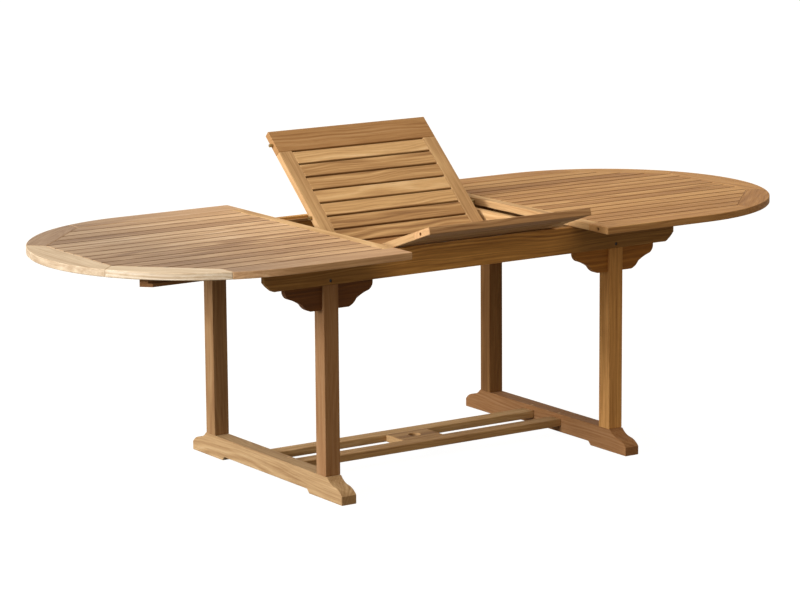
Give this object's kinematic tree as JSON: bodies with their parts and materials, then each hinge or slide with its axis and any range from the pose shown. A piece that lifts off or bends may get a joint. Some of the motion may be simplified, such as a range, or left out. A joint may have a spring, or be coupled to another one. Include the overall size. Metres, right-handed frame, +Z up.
{
  "type": "draw leaf table",
  "caption": "Extending oval dining table with two sliding D-shaped slatted tops, a folding centre leaf on pivot pins, four legs, shaped feet and a low stretcher.",
  "frame": {"origin": "on the floor, under the middle of the table", "axes": "+Z up, X along the table's length, the front long side at -Y"},
  "size_m": [2.548, 1.05, 0.9949],
  "materials": {
    "teak": "sanded teak, unvarnished, golden brown",
    "teak_left_top": "sanded teak, unvarnished, greyer and paler",
    "brass": "satin, slightly tarnished",
    "steel": "satin, stainless"
  },
  "bodies": {
    "frame": {"apron_screws": "steel", "front_apron": "teak", "front_left_bracket": "teak", "front_left_leg": "teak", "front_right_bracket": "teak", "front_right_leg": "teak", "front_stretcher_rail": "teak", "guide_strips": "teak", "left_cross_rail": "teak", "left_foot": "teak", "left_pivot_rail": "teak", "pivot_pins": "steel", "rear_apron": "teak", "rear_left_bracket": "teak", "rear_left_leg": "teak", "rear_right_bracket": "teak", "rear_right_leg": "teak", "rear_stretcher_rail": "teak", "right_cross_rail": "teak", "right_foot": "teak", "right_pivot_rail": "teak", "stretcher_block": "teak", "stretcher_dowels": "teak"},
    "left_top": {"left_top_end_rail": "teak_left_top", "left_top_front_corner": "teak_left_top", "left_top_front_rail": "teak_left_top", "left_top_inner_stile": "teak_left_top", "left_top_pins": "brass", "left_top_rear_corner": "teak_left_top", "left_top_rear_rail": "teak_left_top", "left_top_runners": "teak", "left_top_slats": "teak_left_top"},
    "right_top": {"right_top_end_rail": "teak", "right_top_front_corner": "teak", "right_top_front_rail": "teak", "right_top_inner_stile": "teak", "right_top_pins": "brass", "right_top_rear_corner": "teak", "right_top_rear_rail": "teak", "right_top_runners": "teak", "right_top_slats": "teak"},
    "rear_leaf": {"rear_leaf_battens": "teak", "rear_leaf_ears": "teak", "rear_leaf_hinge_plates": "brass", "rear_leaf_inner_rail": "teak", "rear_leaf_left_stile": "teak", "rear_leaf_outer_rail": "teak", "rear_leaf_pins": "brass", "rear_leaf_right_stile": "teak", "rear_leaf_slats": "teak", "leaf_hinge_pins": "brass"},
    "front_leaf": {"front_leaf_battens": "teak", "front_leaf_hinge_plates": "brass", "front_leaf_inner_rail": "teak", "front_leaf_left_stile": "teak", "front_leaf_outer_rail": "teak", "front_leaf_pins": "brass", "front_leaf_right_stile": "teak", "front_leaf_slats": "teak"}
  },
  "joints": [
    {"name": "left_top_slide", "type": "slide", "parent": "frame", "child": "left_top", "axis": [1, 0, 0], "range_m": [0, 0.0605]},
    {"name": "right_top_slide", "type": "slide", "parent": "frame", "child": "right_top", "axis": [-1, 0, 0], "range_m": [0, 0.0605]},
    {"name": "leaf_pivot", "type": "hinge", "parent": "frame", "child": "rear_leaf", "pos_m": [0, 0.125, 0.672], "axis": [1, 0, 0], "range_deg": [-41.6, 82.3]},
    {"name": "leaf_fold", "type": "hinge", "parent": "rear_leaf", "child": "front_leaf", "pos_m": [0, -0.02092, 0.64809], "axis": [-1, 0, 0], "range_deg": [-60.37, 119.42]}
  ],
  "couplings": [
    {"joint": "leaf_fold", "follows": "leaf_pivot", "ratio": 1.451}
  ]
}
